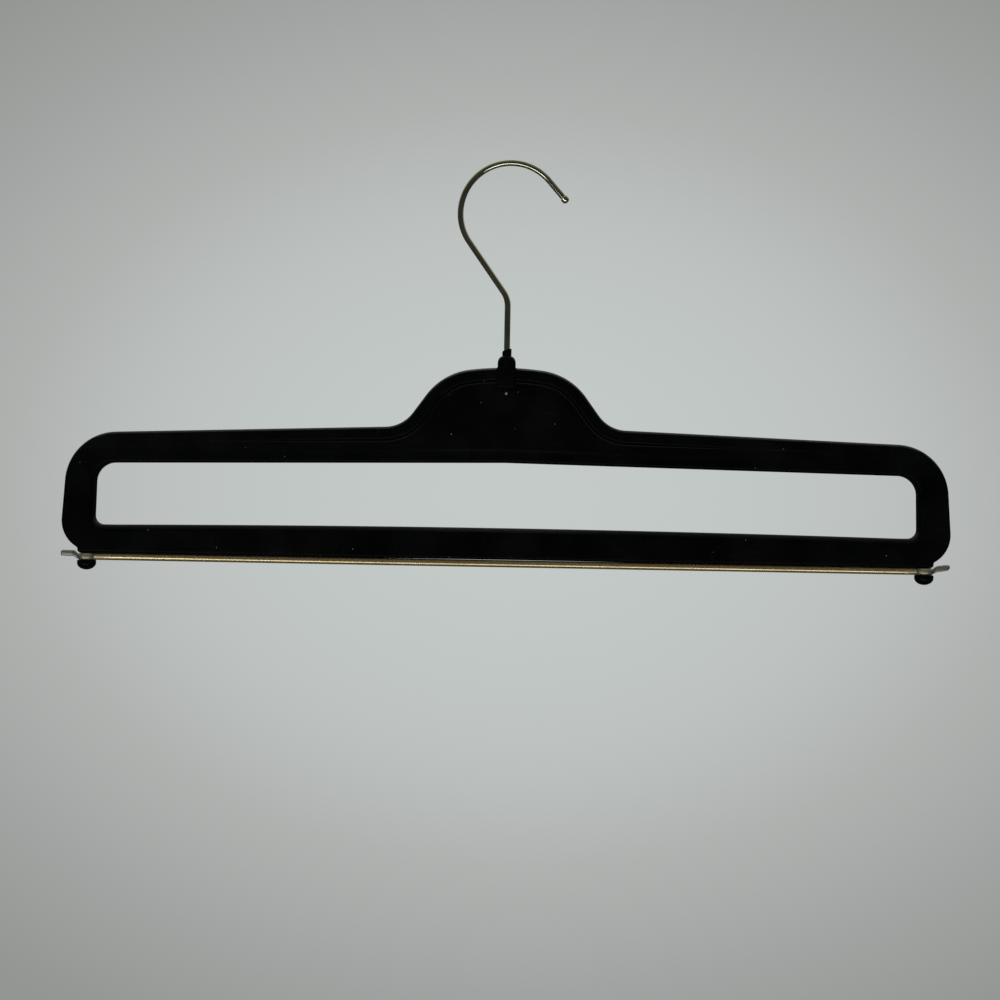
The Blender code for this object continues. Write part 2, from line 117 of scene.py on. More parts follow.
def roundedRectangle(width, height, corner, steps):
    # points around a rectangle with round corners, centred on zero
    corner = min(corner, width / 2, height / 2)
    arc = quarterTurn(corner, steps)
    points = []
    for across, up, order in ((1, 1, 1), (-1, 1, -1), (-1, -1, 1), (1, -1, -1)):
        for sunk, risen in arc[::order]:
            points.append((across * (width / 2 - corner + sunk), up * (height / 2 - corner + risen)))
    return points


def lathe(name, profile, place=(0, 0, 0), sides=96, material=None, axis=(0, 0, 1)):
    # turns (radius, height) points round an axis through place
    bm = bmesh.new()
    verts = [bm.verts.new((radius, 0, height)) for radius, height in profile]
    edges = [bm.edges.new(pair) for pair in zip(verts, verts[1:])]
    if profile[0][0] > 0:
        edges.append(bm.edges.new((verts[-1], verts[0])))
    bmesh.ops.spin(bm, geom=verts + edges, cent=(0, 0, 0), axis=(0, 0, 1), angle=math.tau, steps=sides)
    bmesh.ops.remove_doubles(bm, verts=bm.verts, dist=mergeDistance)
    turn = Vector((0, 0, 1)).rotation_difference(Vector(axis)).to_matrix()
    bmesh.ops.transform(bm, matrix=turn.to_4x4(), verts=bm.verts)
    bmesh.ops.translate(bm, vec=Vector(place), verts=bm.verts)
    return meshObject(name, bm, material)


def cylinder(diameter, low, high):
    # profile of a plain round cutter, for the lathe
    return [(0, low), (diameter / 2, low), (diameter / 2, high), (0, high)]


def setSockets(tree, node, sockets):
    # sockets holds values or other nodes' outputs, by socket name or number
    for key, value in sockets.items():
        if isinstance(value, bpy.types.NodeSocket):
            tree.links.new(value, node.inputs[key])
        else:
            node.inputs[key].default_value = value


def addNode(tree, kind, sockets=None, **settings):
    node = tree.nodes.new(kind)
    for key, value in settings.items():
        setattr(node, key, value)
    setSockets(tree, node, sockets or {})
    return node


def maths(tree, operation, first, second=0.0, clamp=False):
    node = addNode(tree, "ShaderNodeMath", {0: first, 1: second}, operation=operation, use_clamp=clamp)
    return node.outputs[0]


def times(tree, first, second):
    return maths(tree, "MULTIPLY", first, second)


def larger(tree, first, second):
    return maths(tree, "MAXIMUM", first, second)


def split(tree, vector):
    return addNode(tree, "ShaderNodeSeparateXYZ", {0: vector}).outputs


def spread(tree, value, fromLow, fromHigh, toLow=0.0, toHigh=1.0, kind="SMOOTHSTEP"):
    sockets = {"Value": value, "From Min": fromLow, "From Max": fromHigh, "To Min": toLow, "To Max": toHigh}
    return addNode(tree, "ShaderNodeMapRange", sockets, interpolation_type=kind).outputs["Result"]


def noise(tree, place, scale, detail, roughness):
    sockets = {"Vector": place, "Scale": scale, "Detail": detail, "Roughness": roughness}
    return addNode(tree, "ShaderNodeTexNoise", sockets).outputs["Fac"]


def stretched(tree, place, scale):
    return addNode(tree, "ShaderNodeMapping", {"Vector": place, "Scale": scale}).outputs["Vector"]


def mixed(tree, factor, first, second):
    # a colour mix takes its factor at socket 0 and its two tones at 6 and 7
    sockets = {0: factor}
    for key, tone in ((6, first), (7, second)):
        sockets[key] = tone if isinstance(tone, bpy.types.NodeSocket) else (*tone, 1.0)
    return addNode(tree, "ShaderNodeMix", sockets, data_type="RGBA").outputs[2]


def bumped(tree, height, distance, strength=1.0, under=None):
    sockets = {"Height": height, "Distance": distance, "Strength": strength}
    if under:
        sockets["Normal"] = under
    return addNode(tree, "ShaderNodeBump", sockets).outputs["Normal"]


def startMaterial(name):
    material = bpy.data.materials.new(name)
    material.use_nodes = True
    tree = material.node_tree
    surface = tree.nodes["Principled BSDF"]
    place = addNode(tree, "ShaderNodeTexCoord").outputs["Object"]
    return material, tree, surface, place


# Frame: hump, arms, ends and lower rail in one satin black moulding

frameValues = {
    "crown": -0.0982, "humpHeight": 0.0274, "armHeight": 0.0186, "openingHeight": 0.0318,
    "railHeight": 0.01528, "railBow": 0.00019, "railBowReach": 0.50, "openingBow": 0.0016,
    "cornerWidth": 0.4322, "thickness": 0.0080,
    "armSlope": 2.0, "openingSlope": 0.93, "sideFlare": 4.2, "footSlope": 31.9,
    "footInset": 0.0085, "footHeight": 0.00252, "padLength": 0.0105,
    "crownFlatHalf": 0.0085, "crownFall": 7.2, "shoulderHalf": 0.0308, "flankAngle": 54.0,
    "crownRadius": 0.1350, "shoulderRadius": 0.0310, "humpFootRadius": 0.0170,
    "upperCornerRadius": 0.0255, "lowerCornerRadius": 0.0150,
    "footHollowRadius": 0.0011, "footTipRadius": 0.0016,
    "endRailWidth": 0.0162, "openingEndFlare": 0.0006,
    "openingUpperRadius": 0.0095, "openingLowerRadius": 0.0048,
    "edgeRound": 0.0015, "railEdgeRound": 0.0028,
    "rimWidth": 0.0054, "lowerRimWidth": 0.0051, "panelDepth": 0.0022,
    "lipRound": 0.0007, "floorRound": 0.0013, "panelDraft": 0.0002,
    "fadeStart": 0.0500, "panelHalfLength": 0.1600, "panelEndRound": 0.0100, "panelEndShare": 0.14,
    "bossWidth": 0.0091, "bossCorner": 0.0012, "bossProud": 0.0003, "bossLength": 0.0101, "bossEdge": 0.0003,
    "gateDrop": 0.0027, "gateDiameter": 0.0012, "gateHeight": 0.0002,
    "boreDiameter": 0.0063, "boreDepth": 0.0067, "pinX": 0.2039, "pinBore": 0.0044, "pinBoreDepth": 0.0078,
    "arcStep": 3.0, "arcLeast": 6, "roundSteps": 6, "roundRoom": 0.98, "mitreLimit": 2.0,
    "bowSteps": 32, "openingBowSteps": 16, "panelStations": 26, "panelEndSteps": 10, "panelRoundSteps": 5,
    "floorMargin": 0.0004, "bossEdgeSteps": 4, "bossCornerSteps": 8, "gateSides": 32, "gateSink": 0.001,
    "flatMargin": 0.0003, "cutterMargin": 0.004, "sharpAngle": 34.0,
}
frameValues["armLine"] = frameValues["crown"] - frameValues["humpHeight"]
frameValues["openingTop"] = frameValues["armLine"] - frameValues["armHeight"]
frameValues["openingLow"] = frameValues["openingTop"] - frameValues["openingHeight"]
frameValues["railLow"] = frameValues["openingLow"] - frameValues["railHeight"]
frameValues["pad"] = frameValues["railLow"] - frameValues["railBow"]

plasticValues = {
    "black": (0.0003, 0.0004, 0.0004), "worn": (0.0008, 0.0010, 0.0009),
    "roughness": (0.32, 0.42), "specular": (0.022, 0.05), "shineRise": (-0.1425, -0.1385),
    "patchScale": 38.0, "grainSize": 0.00022, "grainDepth": 0.0000035,
    # scuffs
    "hairlineScale": (60.0, 60.0, 1500.0), "crossedScale": (900.0, 60.0, 120.0), "crossedShare": 0.6,
    "scuff": (0.012, 0.012, 0.011), "scuffShare": 0.25, "scuffRougher": 0.12, "scuffDepth": 0.000006,
    # dust, the dust film that also paints a highlight on the upper edges, and where along x and z they lie
    "dustAndSheen": (0.085, 0.088, 0.080), "dustAndSheenRougher": 0.3,
    "speckScale": 62.0, "speckSize": 0.017, "frontShift": 0.137,
    "lintScale": 900.0, "dustAndSheenFilm": (0.45, 0.95), "humpHalf": (0.020, 0.050),
    "dustAndSheenStart": (-0.1366, -0.1345), "panelShare": 0.03, "railTop": -0.1650, "railShare": 0.13,
    "ends": (0.2000, 0.2040), "bossHalf": (0.0047, 0.0052), "bossLow": -0.1150,
    # gate and seam
    "gateGrey": (0.09, 0.09, 0.085), "gatePlace": (0.0, -0.0020, -0.1107), "gateRim": (0.00045, 0.00075),
    "seamHalf": (0.00003, 0.00009), "seamDepth": 0.00003,
}


def satinBlackPlastic():
    v = plasticValues
    material, tree, surface, place = startMaterial("satinBlackPlastic")
    x, y, z = split(tree, place)
    fromMiddle = maths(tree, "ABSOLUTE", x)
    facing, up = split(tree, addNode(tree, "ShaderNodeTexCoord").outputs["Normal"])[1:]

    # broad patches where hands and cloth have polished it, and fine hairline scuffs
    patches = noise(tree, place, v["patchScale"], 4.0, 0.6)
    hairlines = noise(tree, stretched(tree, place, v["hairlineScale"]), 1.0, 6.0, 0.65)
    crossed = noise(tree, stretched(tree, place, v["crossedScale"]), 1.0, 5.0, 0.6)
    scuffed = times(tree, spread(tree, hairlines, 0.60, 0.72), spread(tree, patches, 0.45, 0.65))
    rubbed = larger(tree, scuffed, times(tree, spread(tree, crossed, 0.64, 0.74), v["crossedShare"]))
    grain = noise(tree, place, 1.0 / v["grainSize"], 2.0, 0.5)

    # single specks of dust on the front and back, not the same ones on both
    front = maths(tree, "LESS_THAN", y, 0.0)
    shifted = maths(tree, "ADD", x, times(tree, front, v["frontShift"]))
    flat = addNode(tree, "ShaderNodeCombineXYZ", {0: shifted, 1: z}).outputs[0]
    cells = addNode(tree, "ShaderNodeTexVoronoi", {
        "Vector": flat, "Scale": v["speckScale"],
    }, voronoi_dimensions="2D").outputs
    cellTone = addNode(tree, "ShaderNodeSeparateColor", {0: cells["Color"]}).outputs
    speckSize = spread(tree, cellTone[0], 0.35, 1.0, 0.0, v["speckSize"])
    speck = maths(tree, "LESS_THAN", cells["Distance"], speckSize)
    speck = times(tree, speck, spread(tree, cellTone[1], 0.0, 1.0, 0.3, 1.0))
    speck = times(tree, speck, spread(tree, maths(tree, "ABSOLUTE", facing), 0.5, 0.8))

    # a thin film of dust on whatever looks up, thicker on the hump than on the arms, which also paints the
    # pale highlight along the upper edges
    low, high = v["dustAndSheenFilm"]
    lint = noise(tree, place, v["lintScale"], 5.0, 0.7)
    dustAndSheenLayer = times(tree, spread(tree, up, 0.20, 0.95, kind="LINEAR"), spread(tree, lint, 0.35, 0.75, 0.5, 1.0))
    dustAndSheenLayer = times(tree, dustAndSheenLayer, spread(tree, fromMiddle, *v["humpHalf"], high, low))
    # the panel and the rail lie sheltered under the arms and get less of the film, its dust and its painted
    # highlight alike, not so the two ends
    dustAndSheenKept = spread(tree, z, *v["dustAndSheenStart"], v["panelShare"], 1.0)
    dustAndSheenKept = larger(tree, dustAndSheenKept, times(tree, maths(tree, "LESS_THAN", z, v["railTop"]), v["railShare"]))
    dustAndSheenLayer = times(tree, dustAndSheenLayer, larger(tree, dustAndSheenKept, spread(tree, fromMiddle, *v["ends"])))
    # the boss gets none of the film, neither its dust nor its painted highlight
    belowBoss = maths(tree, "LESS_THAN", z, v["bossLow"])
    dustAndSheenLayer = times(tree, dustAndSheenLayer, larger(tree, spread(tree, fromMiddle, *v["bossHalf"]), belowBoss))
    # specks of dust, and the film that is dust and painted highlight together
    dustAndSheen = larger(tree, speck, dustAndSheenLayer)

    # the pale nub where the moulding was broken off its gate, and the seam round the edge
    toGate = addNode(tree, "ShaderNodeVectorMath", {0: place, 1: v["gatePlace"]}, operation="DISTANCE")
    gate = spread(tree, toGate.outputs["Value"], *v["gateRim"], 1.0, 0.0)
    seam = spread(tree, maths(tree, "ABSOLUTE", y), *v["seamHalf"], 1.0, 0.0)

    tone = mixed(tree, spread(tree, patches, 0.35, 0.7), v["black"], v["worn"])
    tone = mixed(tree, times(tree, rubbed, v["scuffShare"]), tone, v["scuff"])
    # the dust tone paints the dust and also the pale highlight along the upper edges
    tone = mixed(tree, dustAndSheen, tone, v["dustAndSheen"])
    tone = mixed(tree, gate, tone, v["gateGrey"])
    gloss = spread(tree, patches, 0.3, 0.7, *v["roughness"])
    gloss = maths(tree, "ADD", gloss, times(tree, rubbed, v["scuffRougher"]))
    gloss = maths(tree, "ADD", gloss, times(tree, dustAndSheen, v["dustAndSheenRougher"]), clamp=True)
    relief = bumped(tree, grain, v["grainDepth"])
    relief = bumped(tree, rubbed, v["scuffDepth"], 0.6, relief)
    relief = bumped(tree, seam, v["seamDepth"], 0.8, relief)
    # cloth has rubbed the rail and the ends duller than the hump and the arms
    shine = spread(tree, z, *v["shineRise"], *v["specular"])
    setSockets(tree, surface, {
        "Base Color": tone, "Roughness": gloss, "Specular IOR Level": shine, "Normal": relief,
    })
    return material


def cornerArc(before, corner, after, radius):
    # points of the arc that rounds a corner
    inward = (corner - before).normalized()
    outward = (after - corner).normalized()
    turn = inward.angle_signed(outward)
    start = corner - inward * radius * math.tan(abs(turn) / 2)
    centre = start + Vector((inward.y, -inward.x)) * math.copysign(radius, turn)
    steps = max(frameValues["arcLeast"], math.ceil(abs(turn) / math.radians(frameValues["arcStep"])))
    spoke = start - centre
    points = []
    for k in range(steps + 1):
        angle = -turn * k / steps
        points.append((
            centre.x + spoke.x * math.cos(angle) - spoke.y * math.sin(angle),
            centre.y + spoke.x * math.sin(angle) + spoke.y * math.cos(angle),
        ))
    return points


def roundedLine(corners):
    # rounds the inner corners of (x, z, radius) points, each as far as its sides have room
    places = [Vector(corner[:2]) for corner in corners]
    radii = [corner[2] for corner in corners]
    sides = [after - before for before, after in zip(places, places[1:])]
    reaches = [0.0] * len(corners)
    for k in range(1, len(corners) - 1):
        reaches[k] = radii[k] * math.tan(sides[k - 1].angle(sides[k]) / 2)
    rooms = [1.0] * len(corners)
    for k, side in enumerate(sides):
        taken = reaches[k] + reaches[k + 1]
        room = side.length * frameValues["roundRoom"]
        if taken > room:
            rooms[k] = min(rooms[k], room / taken)
            rooms[k + 1] = min(rooms[k + 1], room / taken)
    points = [tuple(places[0])]
    for k in range(1, len(corners) - 1):
        if radii[k] > 0:
            points += cornerArc(places[k - 1], places[k], places[k + 1], radii[k] * rooms[k])
        else:
            points.append(tuple(places[k]))
    return points + [tuple(places[-1])]


def bothHalves(half):
    return half + [(-x, z) for x, z in reversed(half[1:-1])]


def movedIn(points, distances):
    # moves each point of a clockwise outline inwards by its own distance
    moved = []
    count = len(points)
    for k in range(count):
        here = Vector(points[k])
        ahead = (Vector(points[(k + 1) % count]) - here).normalized()
        behind = (here - Vector(points[k - 1])).normalized()
        along = (ahead + behind).normalized()
        stretch = min(1 / along.dot(ahead), frameValues["mitreLimit"]) * distances[k]
        moved.append((here.x + along.y * stretch, here.y - along.x * stretch))
    return moved


def ringAt(bm, points, depths):
    return [bm.verts.new((x, y, z)) for (x, z), y in zip(points, depths)]


def skinRings(bm, rings):
    for first, second in zip(rings, rings[1:]):
        for k in range(len(first)):
            bm.faces.new((first[k - 1], first[k], second[k], second[k - 1]))


def tan(degrees):
    return math.tan(math.radians(degrees))


def outerOutline(v):
    cornerX = v["cornerWidth"] / 2
    footX = cornerX - v["footInset"]
    shoulderZ = v["crown"] - (v["shoulderHalf"] - v["crownFlatHalf"]) * tan(v["crownFall"])
    humpFootX = (shoulderZ + tan(v["flankAngle"]) * v["shoulderHalf"] - v["armLine"]) / (
        tan(v["flankAngle"]) - tan(v["armSlope"]))
    heelZ = v["pad"] + v["footHeight"]
    lowCornerZ = heelZ + v["footInset"] * tan(v["footSlope"])
    highCornerX = (cornerX - (v["armLine"] - lowCornerZ) * tan(v["sideFlare"])) / (
        1 - tan(v["armSlope"]) * tan(v["sideFlare"]))
    half = roundedLine([
        (0, v["crown"], 0),
        (v["crownFlatHalf"], v["crown"], v["crownRadius"]),
        (v["shoulderHalf"], shoulderZ, v["shoulderRadius"]),
        (humpFootX, v["armLine"] - humpFootX * tan(v["armSlope"]), v["humpFootRadius"]),
        (highCornerX, v["armLine"] - highCornerX * tan(v["armSlope"]), v["upperCornerRadius"]),
        (cornerX, lowCornerZ, v["lowerCornerRadius"]),
        (footX, heelZ, v["footHollowRadius"]),
        (footX, v["pad"], v["footTipRadius"]),
        (footX - v["padLength"], v["pad"], 0),
    ])
    # the rail arches off the rod in the middle and lies close over it towards both ends
    for k in range(1, v["bowSteps"] + 1):
        share = 1 - k / v["bowSteps"]
        drop = min(1.0, share / v["railBowReach"])
        z = v["railLow"] - v["railBow"] * drop * drop * (3 - 2 * drop)
        half.append(((footX - v["padLength"]) * share, z))
    return bothHalves(half)


def openingLine(v, x):
    return v["openingTop"] - abs(x) * tan(v["openingSlope"])


def openingOutline(v):
    endX = v["cornerWidth"] / 2 - v["endRailWidth"]
    lowZ = v["openingLow"] - v["openingBow"]
    half = roundedLine([
        (0, v["openingTop"], 0),
        (endX, openingLine(v, endX), v["openingUpperRadius"]),
        (endX + v["openingEndFlare"], lowZ, v["openingLowerRadius"]),
        (endX - v["openingUpperRadius"], lowZ, 0),
    ])
    bowStart = half[-1][0]
    for k in range(1, v["openingBowSteps"] + 1):
        share = 1 - k / v["openingBowSteps"]
        half.append((bowStart * share, v["openingLow"] - v["openingBow"] * share ** 2))
    return bothHalves(half)


def panelOutline(v, outer):
    # the sunk panel keeps the rim's width below the outer edge and above the opening
    line = sorted(
        (max(0, x), z)
        for x, z in movedIn(outer, [v["rimWidth"]] * len(outer))
        if x > -mergeDistance and z > openingLine(v, x) + v["lowerRimWidth"]
    )
    lineX = [x for x, z in line]
    lineZ = [z for x, z in line]
    endStart = v["panelHalfLength"] - v["panelEndRound"]
    stations = [x for x in lineX if x < v["fadeStart"]]
    stations += list(np.linspace(v["fadeStart"], endStart, v["panelStations"]))
    turns = [math.pi / 2 * k / v["panelEndSteps"] for k in range(1, v["panelEndSteps"] + 1)]
    stations += [endStart + v["panelEndRound"] * math.sin(turn) for turn in turns]
    upper = []
    lower = []
    for x in stations:
        high = float(np.interp(x, lineX, lineZ))
        low = openingLine(v, x) + v["lowerRimWidth"]
        past = max(0, (x - endStart) / v["panelEndRound"])
        halfHeight = (high - low) / 2 * math.sqrt(max(0, 1 - past ** 2))
        upper.append((x, (high + low) / 2 + halfHeight))
        lower.append((x, (high + low) / 2 - halfHeight))
    return bothHalves(upper[:-1] + [lower[-1]] + lower[-2::-1])


def panelStrength(v, x):
    past = min(1, max(0, (abs(x) - v["fadeStart"]) / (v["panelHalfLength"] - v["fadeStart"])))
    return 1 - (1 - v["panelEndShare"]) * past * past * (3 - 2 * past)


def sunkPanel(bm, v, outline, face):
    # lip, wall and floor of the panel on one face; the ring that comes back lies in that face
    strengths = [panelStrength(v, x) for x, z in outline]
    floorRound = min(v["floorRound"], v["panelDepth"] - v["lipRound"])
    floorStart = v["lipRound"] + v["panelDraft"]
    steps = [(-v["flatMargin"], 0.0)]
    lipTurn = quarterTurn(v["lipRound"], v["panelRoundSteps"])
    steps += [(risen, v["lipRound"] - sunk) for sunk, risen in lipTurn]
    for sunk, risen in quarterTurn(floorRound, v["panelRoundSteps"]):
        steps.append((floorStart + floorRound - sunk, v["panelDepth"] - floorRound + risen))
    steps.append((floorStart + floorRound + v["floorMargin"], v["panelDepth"]))
    rings = []
    for across, deep in steps:
        points = movedIn(outline, [across * strength for strength in strengths])
        rings.append(ringAt(bm, points, [face * (v["thickness"] / 2 - deep * s) for s in strengths]))
    skinRings(bm, rings)
    floor = rings[-1]
    count = len(floor)
    leftTip = count - count // 4
    for k in range(count // 2):
        top = (leftTip + k) % count
        low = (leftTip - k) % count
        corners = [floor[top], floor[(top + 1) % count], floor[(low - 1) % count], floor[low]]
        corners = list(dict.fromkeys(corners))
        if len(corners) > 2:
            bm.faces.new(corners)
    return rings[0]


def roundedWall(bm, v, outline, rounds, side):
    # a wall through the frame, rounded at both faces, with a narrow flat strip in each face
    sections = [(1, 1, 0, v["flatMargin"])]
    sections += [(1 - risen, 1, sunk - 1, 0) for sunk, risen in quarterTurn(1, v["roundSteps"])]
    sections += [(1 - sunk, -1, 1 - risen, 0) for sunk, risen in quarterTurn(1, v["roundSteps"])]
    sections.append((1, -1, 0, v["flatMargin"]))
    rings = []
    for across, face, rise, margin in sections:
        points = movedIn(outline, [side * (across * size + margin) for size in rounds])
        rings.append(ringAt(bm, points, [face * v["thickness"] / 2 + rise * size for size in rounds]))
    skinRings(bm, rings)
    return rings[0], rings[-1]


def bossMesh(v, top, end):
    # the square boss round the hook's bush, its rims and corners rounded
    edge = v["bossEdge"]
    arc = quarterTurn(edge, v["bossEdgeSteps"])
    rims = [(top - edge + risen, edge - sunk) for sunk, risen in arc][::-1]
    rims += [(end + edge - risen, edge - sunk) for sunk, risen in arc]
    bm = bmesh.new()
    rings = []
    for z, margin in rims:
        side = v["bossWidth"] - 2 * margin
        section = roundedRectangle(side, side, v["bossCorner"], v["bossCornerSteps"])
        rings.append([bm.verts.new((x, y, z)) for x, y in section])
    skinRings(bm, rings)
    bm.faces.new(rings[0])
    bm.faces.new(rings[-1])
    return meshObject("bossTool", bm)


def buildFrame():
    v = frameValues
    bm = bmesh.new()
    outer = outerOutline(v)
    outerRound = min(v["edgeRound"], v["footTipRadius"] * v["roundRoom"])
    outerBack, outerFront = roundedWall(bm, v, outer, [outerRound] * len(outer), 1)
    opening = openingOutline(v)
    rounds = []
    for x, z in opening:
        rise = min(1, max(0, (z - v["openingLow"]) / v["openingLowerRadius"]))
        rounds.append(v["railEdgeRound"] + (v["edgeRound"] - v["railEdgeRound"]) * rise)
    openingBack, openingFront = roundedWall(bm, v, opening, rounds, -1)
    panel = panelOutline(v, outer)
    for face, outerRing, openingRing in ((-1, outerFront, openingFront), (1, outerBack, openingBack)):
        panelRing = sunkPanel(bm, v, panel, face)
        edges = []
        for ring in (outerRing, openingRing, panelRing):
            edges += [bm.edges.get((ring[k - 1], ring[k])) for k in range(len(ring))]
        bmesh.ops.triangle_fill(bm, use_beauty=True, use_dissolve=False, edges=edges, normal=(0, face, 0))
    body = meshObject("frameBody", bm)

    bossTop = v["crown"] + v["bossProud"]
    bossEnd = bossTop - v["bossLength"]
    radius, height, sink = v["gateDiameter"] / 2, v["gateHeight"], v["gateSink"]
    gate = [(0, height), (radius * 0.6, height), (radius * 0.9, height * 0.6),
            (radius, 0), (radius, -sink), (0, -sink)]
    gatePlace = (0, v["panelDepth"] - v["thickness"] / 2, bossEnd - v["gateDrop"])
    bore = cylinder(v["boreDiameter"], bossTop - v["boreDepth"], bossTop + v["cutterMargin"])
    pinBore = cylinder(v["pinBore"], v["pad"] - v["cutterMargin"], v["pad"] + v["pinBoreDepth"])
    tools = [
        (bossMesh(v, bossTop, bossEnd), "UNION"),
        (lathe("gateTool", gate, gatePlace, v["gateSides"], axis=(0, -1, 0)), "UNION"),
        (lathe("boreTool", bore), "DIFFERENCE"),
        (lathe("leftBoreTool", pinBore, (-v["pinX"], 0, 0)), "DIFFERENCE"),
        (lathe("rightBoreTool", pinBore, (v["pinX"], 0, 0)), "DIFFERENCE"),
    ]
    made = shapeWith(body, tools, "hangerFrame", satinBlackPlastic(), v["sharpAngle"])
    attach(made, "frame")
    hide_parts("frame")
    print("frame moulded:", len(made.data.polygons), "faces")


buildFrame()


def markedWith(tree, geometry, name, value):
    # stores a value on the points under a name, for the materials
    return addNode(tree, "GeometryNodeStoreNamedAttribute", {
        "Geometry": geometry, "Name": name, "Value": value,
    }, data_type="FLOAT", domain="POINT").outputs[0]


# One tree sweeps a round bar along a path, for the hook's wire and the clamp rod
def barTree():
    tree = bpy.data.node_groups.new("roundBarAlongPath", "GeometryNodeTree")
    inputs = (("Path", "Geometry"), ("Sides", "Int"), ("Thickness", "Float"), ("Finish", "Material"))
    for name, kind in inputs:
        tree.interface.new_socket(name=name, in_out="INPUT", socket_type="NodeSocket" + kind)
    tree.interface.new_socket(name="Bar", in_out="OUTPUT", socket_type="NodeSocketGeometry")
    given = addNode(tree, "NodeGroupInput").outputs
    path = addNode(tree, "GeometryNodeMeshToCurve", {"Mesh": given["Path"]}).outputs[0]
    swell = addNode(tree, "GeometryNodeInputNamedAttribute", {"Name": "swell"}, data_type="FLOAT")
    radius = times(tree, times(tree, swell.outputs["Attribute"], given["Thickness"]), 0.5)
    along = addNode(tree, "GeometryNodeSplineParameter").outputs["Length"]
    path = markedWith(tree, path, "alongWire", along)
    ring = addNode(tree, "GeometryNodeCurvePrimitiveCircle", {"Resolution": given["Sides"], "Radius": 1.0})
    ring = ring.outputs["Curve"]
    turn = times(tree, addNode(tree, "GeometryNodeSplineParameter").outputs["Factor"], math.tau)
    ring = markedWith(tree, ring, "wireSine", maths(tree, "SINE", turn))
    ring = markedWith(tree, ring, "wireCosine", maths(tree, "COSINE", turn))
    bar = addNode(tree, "GeometryNodeCurveToMesh", {
        "Curve": path, "Profile Curve": ring, "Scale": radius, "Fill Caps": True,
    }).outputs[0]
    bar = addNode(tree, "GeometryNodeRealizeInstances", {"Geometry": bar}).outputs[0]
    bar = addNode(tree, "GeometryNodeSetMaterial", {"Geometry": bar, "Material": given["Finish"]}).outputs[0]
    addNode(tree, "NodeGroupOutput", {"Bar": bar})
    return tree


roundBar = barTree()


def barAlong(name, stations, thickness, sides, material, sharpAngle=40.0):
    # stations are (x, z, swell) points; swell 1 is the plain thickness
    mesh = bpy.data.meshes.new(name + "Path")
    edges = [(k, k + 1) for k in range(len(stations) - 1)]
    mesh.from_pydata([(x, 0, z) for x, z, swell in stations], edges, [])
    swells = mesh.attributes.new("swell", "FLOAT", "POINT")
    swells.data.foreach_set("value", [swell for x, z, swell in stations])
    source = bpy.data.objects.new(name + "Path", mesh)
    bpy.context.scene.collection.objects.link(source)
    step = source.modifiers.new("bar", "NODES")
    step.node_group = roundBar
    given = {item.name: item.identifier for item in roundBar.interface.items_tree if item.in_out == "INPUT"}
    step[given["Sides"]] = sides
    step[given["Thickness"]] = thickness
    step[given["Finish"]] = material
    return bakedMesh(source, name, material, sharpAngle)


# Hook: bent wire with a rounded tip, its brass plating gone dull and olive

hookValues = {
    "wire": 0.0029, "loopRadius": 0.0244, "loopOffset": 0.0007,
    "backRun": 35.3, "mouth": 41.2, "mouthRun": 0.0138, "bendRadius": 0.0120,
    "tip": 0.0037, "tipLength": 0.0031, "tipNeck": 0.0004, "tipRound": 0.0016,
    "collar": 0.0046, "collarTop": -0.1017, "collarHeight": 0.0012, "collarEdge": 0.0002, "shankEnd": -0.1034,
    "step": 2.0, "tipSteps": 8, "sides": 48,
    "plating": (0.50, 0.51, 0.35), "tarnish": (0.38, 0.38, 0.25), "stain": (0.20, 0.195, 0.12),
    "roughness": (0.08, 0.12), "speckRougher": 0.02, "edgeTint": (0.60, 0.61, 0.56),
    "lacquer": 0.8, "lacquerRoughness": 0.12,
    # patterns: the draw lines' scales along and round the wire, then the others
    "drawnAlong": 45.0, "drawnRound": 9.0, "cloudScale": 110.0, "speckScale": 2100.0, "spotScale": 420.0,
    "drawnRelief": (0.0000008, 0.3), "speckRelief": (0.0000002, 0.3),
}


def agedBrassWire():
    v = hookValues
    material, tree, surface, place = startMaterial("agedBrassWire")
    along, sine, cosine = [
        addNode(tree, "ShaderNodeAttribute", attribute_name=name).outputs["Fac"]
        for name in ("alongWire", "wireSine", "wireCosine")
    ]
    drawn = addNode(tree, "ShaderNodeCombineXYZ", {
        0: times(tree, along, v["drawnAlong"]),
        1: times(tree, sine, v["drawnRound"]),
        2: times(tree, cosine, v["drawnRound"]),
    }).outputs[0]
    clouds = noise(tree, place, v["cloudScale"], 5.0, 0.6)
    drawLines = noise(tree, drawn, 1.0, 4.0, 0.6)
    specks = noise(tree, place, v["speckScale"], 3.0, 0.6)
    spots = noise(tree, place, v["spotScale"], 5.0, 0.7)
    tone = mixed(tree, spread(tree, clouds, 0.38, 0.66), v["plating"], v["tarnish"])
    tone = mixed(tree, spread(tree, drawLines, 0.48, 0.75, 0.0, 0.4), tone, v["tarnish"])
    tone = mixed(tree, spread(tree, spots, 0.60, 0.74, 0.0, 0.7), tone, v["stain"])
    gloss = spread(tree, clouds, 0.35, 0.7, *v["roughness"])
    gloss = maths(tree, "ADD", gloss, spread(tree, specks, 0.4, 0.7, 0.0, v["speckRougher"]))
    relief = bumped(tree, drawLines, *v["drawnRelief"])
    relief = bumped(tree, specks, *v["speckRelief"], relief)
    setSockets(tree, surface, {
        "Base Color": tone, "Roughness": gloss, "Metallic": 1.0, "Normal": relief,
        "Specular Tint": (*v["edgeTint"], 1.0),
        "Coat Weight": v["lacquer"], "Coat Roughness": v["lacquerRoughness"],
    })
    return material


